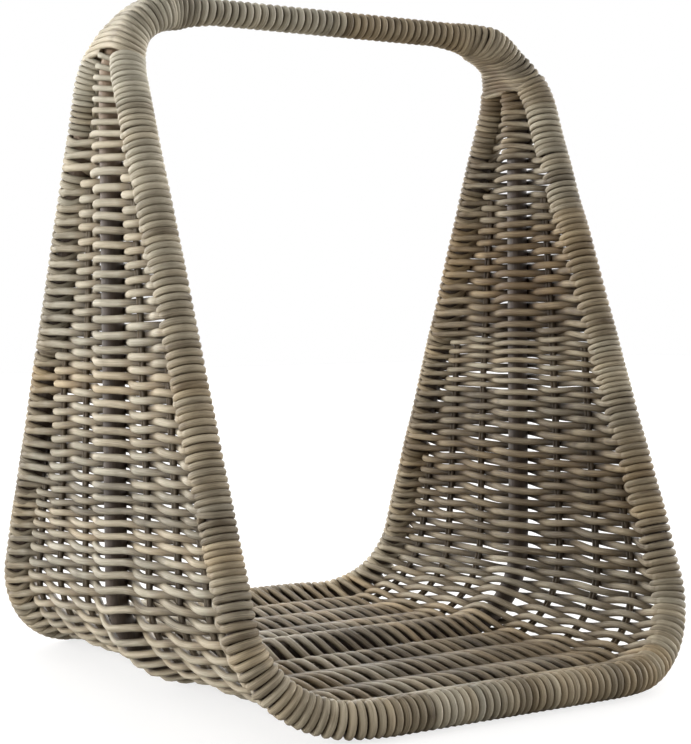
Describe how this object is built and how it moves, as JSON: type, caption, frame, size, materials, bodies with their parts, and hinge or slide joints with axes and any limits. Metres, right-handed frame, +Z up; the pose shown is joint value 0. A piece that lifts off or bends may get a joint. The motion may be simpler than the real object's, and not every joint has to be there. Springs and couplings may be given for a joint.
{
  "type": "log basket",
  "caption": "Open wicker log basket: a woven rattan sheet bent into a U between two wrapped rims that rise to one wrapped handle bar.",
  "frame": {"origin": "on the floor, under the middle of the basket", "axes": "+Z up; the handle bar runs along X between the two woven walls; the basket is open towards -Y (front) and +Y (back)"},
  "size_m": [0.392, 0.46, 0.5],
  "materials": {
    "rattan_strand": "matt grey-washed unpeeled rattan",
    "rattan_pole": "matt brown rattan pole",
    "rattan_stake": "matt grey-brown rattan rod"
  },
  "bodies": {
    "root": {"front_rim_pole": "rattan_pole", "centre_pole": "rattan_pole", "back_rim_pole": "rattan_pole", "handle_core": "rattan_pole", "front_inner_stakes": "rattan_stake", "front_middle_stakes": "rattan_stake", "front_outer_stakes": "rattan_stake", "back_inner_stakes": "rattan_stake", "back_middle_stakes": "rattan_stake", "back_outer_stakes": "rattan_stake", "base_weave": "rattan_strand", "left_corner_weave": "rattan_strand", "right_corner_weave": "rattan_strand", "left_wall_weave": "rattan_strand", "right_wall_weave": "rattan_strand", "front_rim_wrap_base": "rattan_strand", "front_rim_wrap_left": "rattan_strand", "front_rim_wrap_right": "rattan_strand", "back_rim_wrap_base": "rattan_strand", "back_rim_wrap_left": "rattan_strand", "back_rim_wrap_right": "rattan_strand", "handle_wrap": "rattan_strand", "left_handle_binding": "rattan_strand", "right_handle_binding": "rattan_strand"}
  },
  "joints": []
}
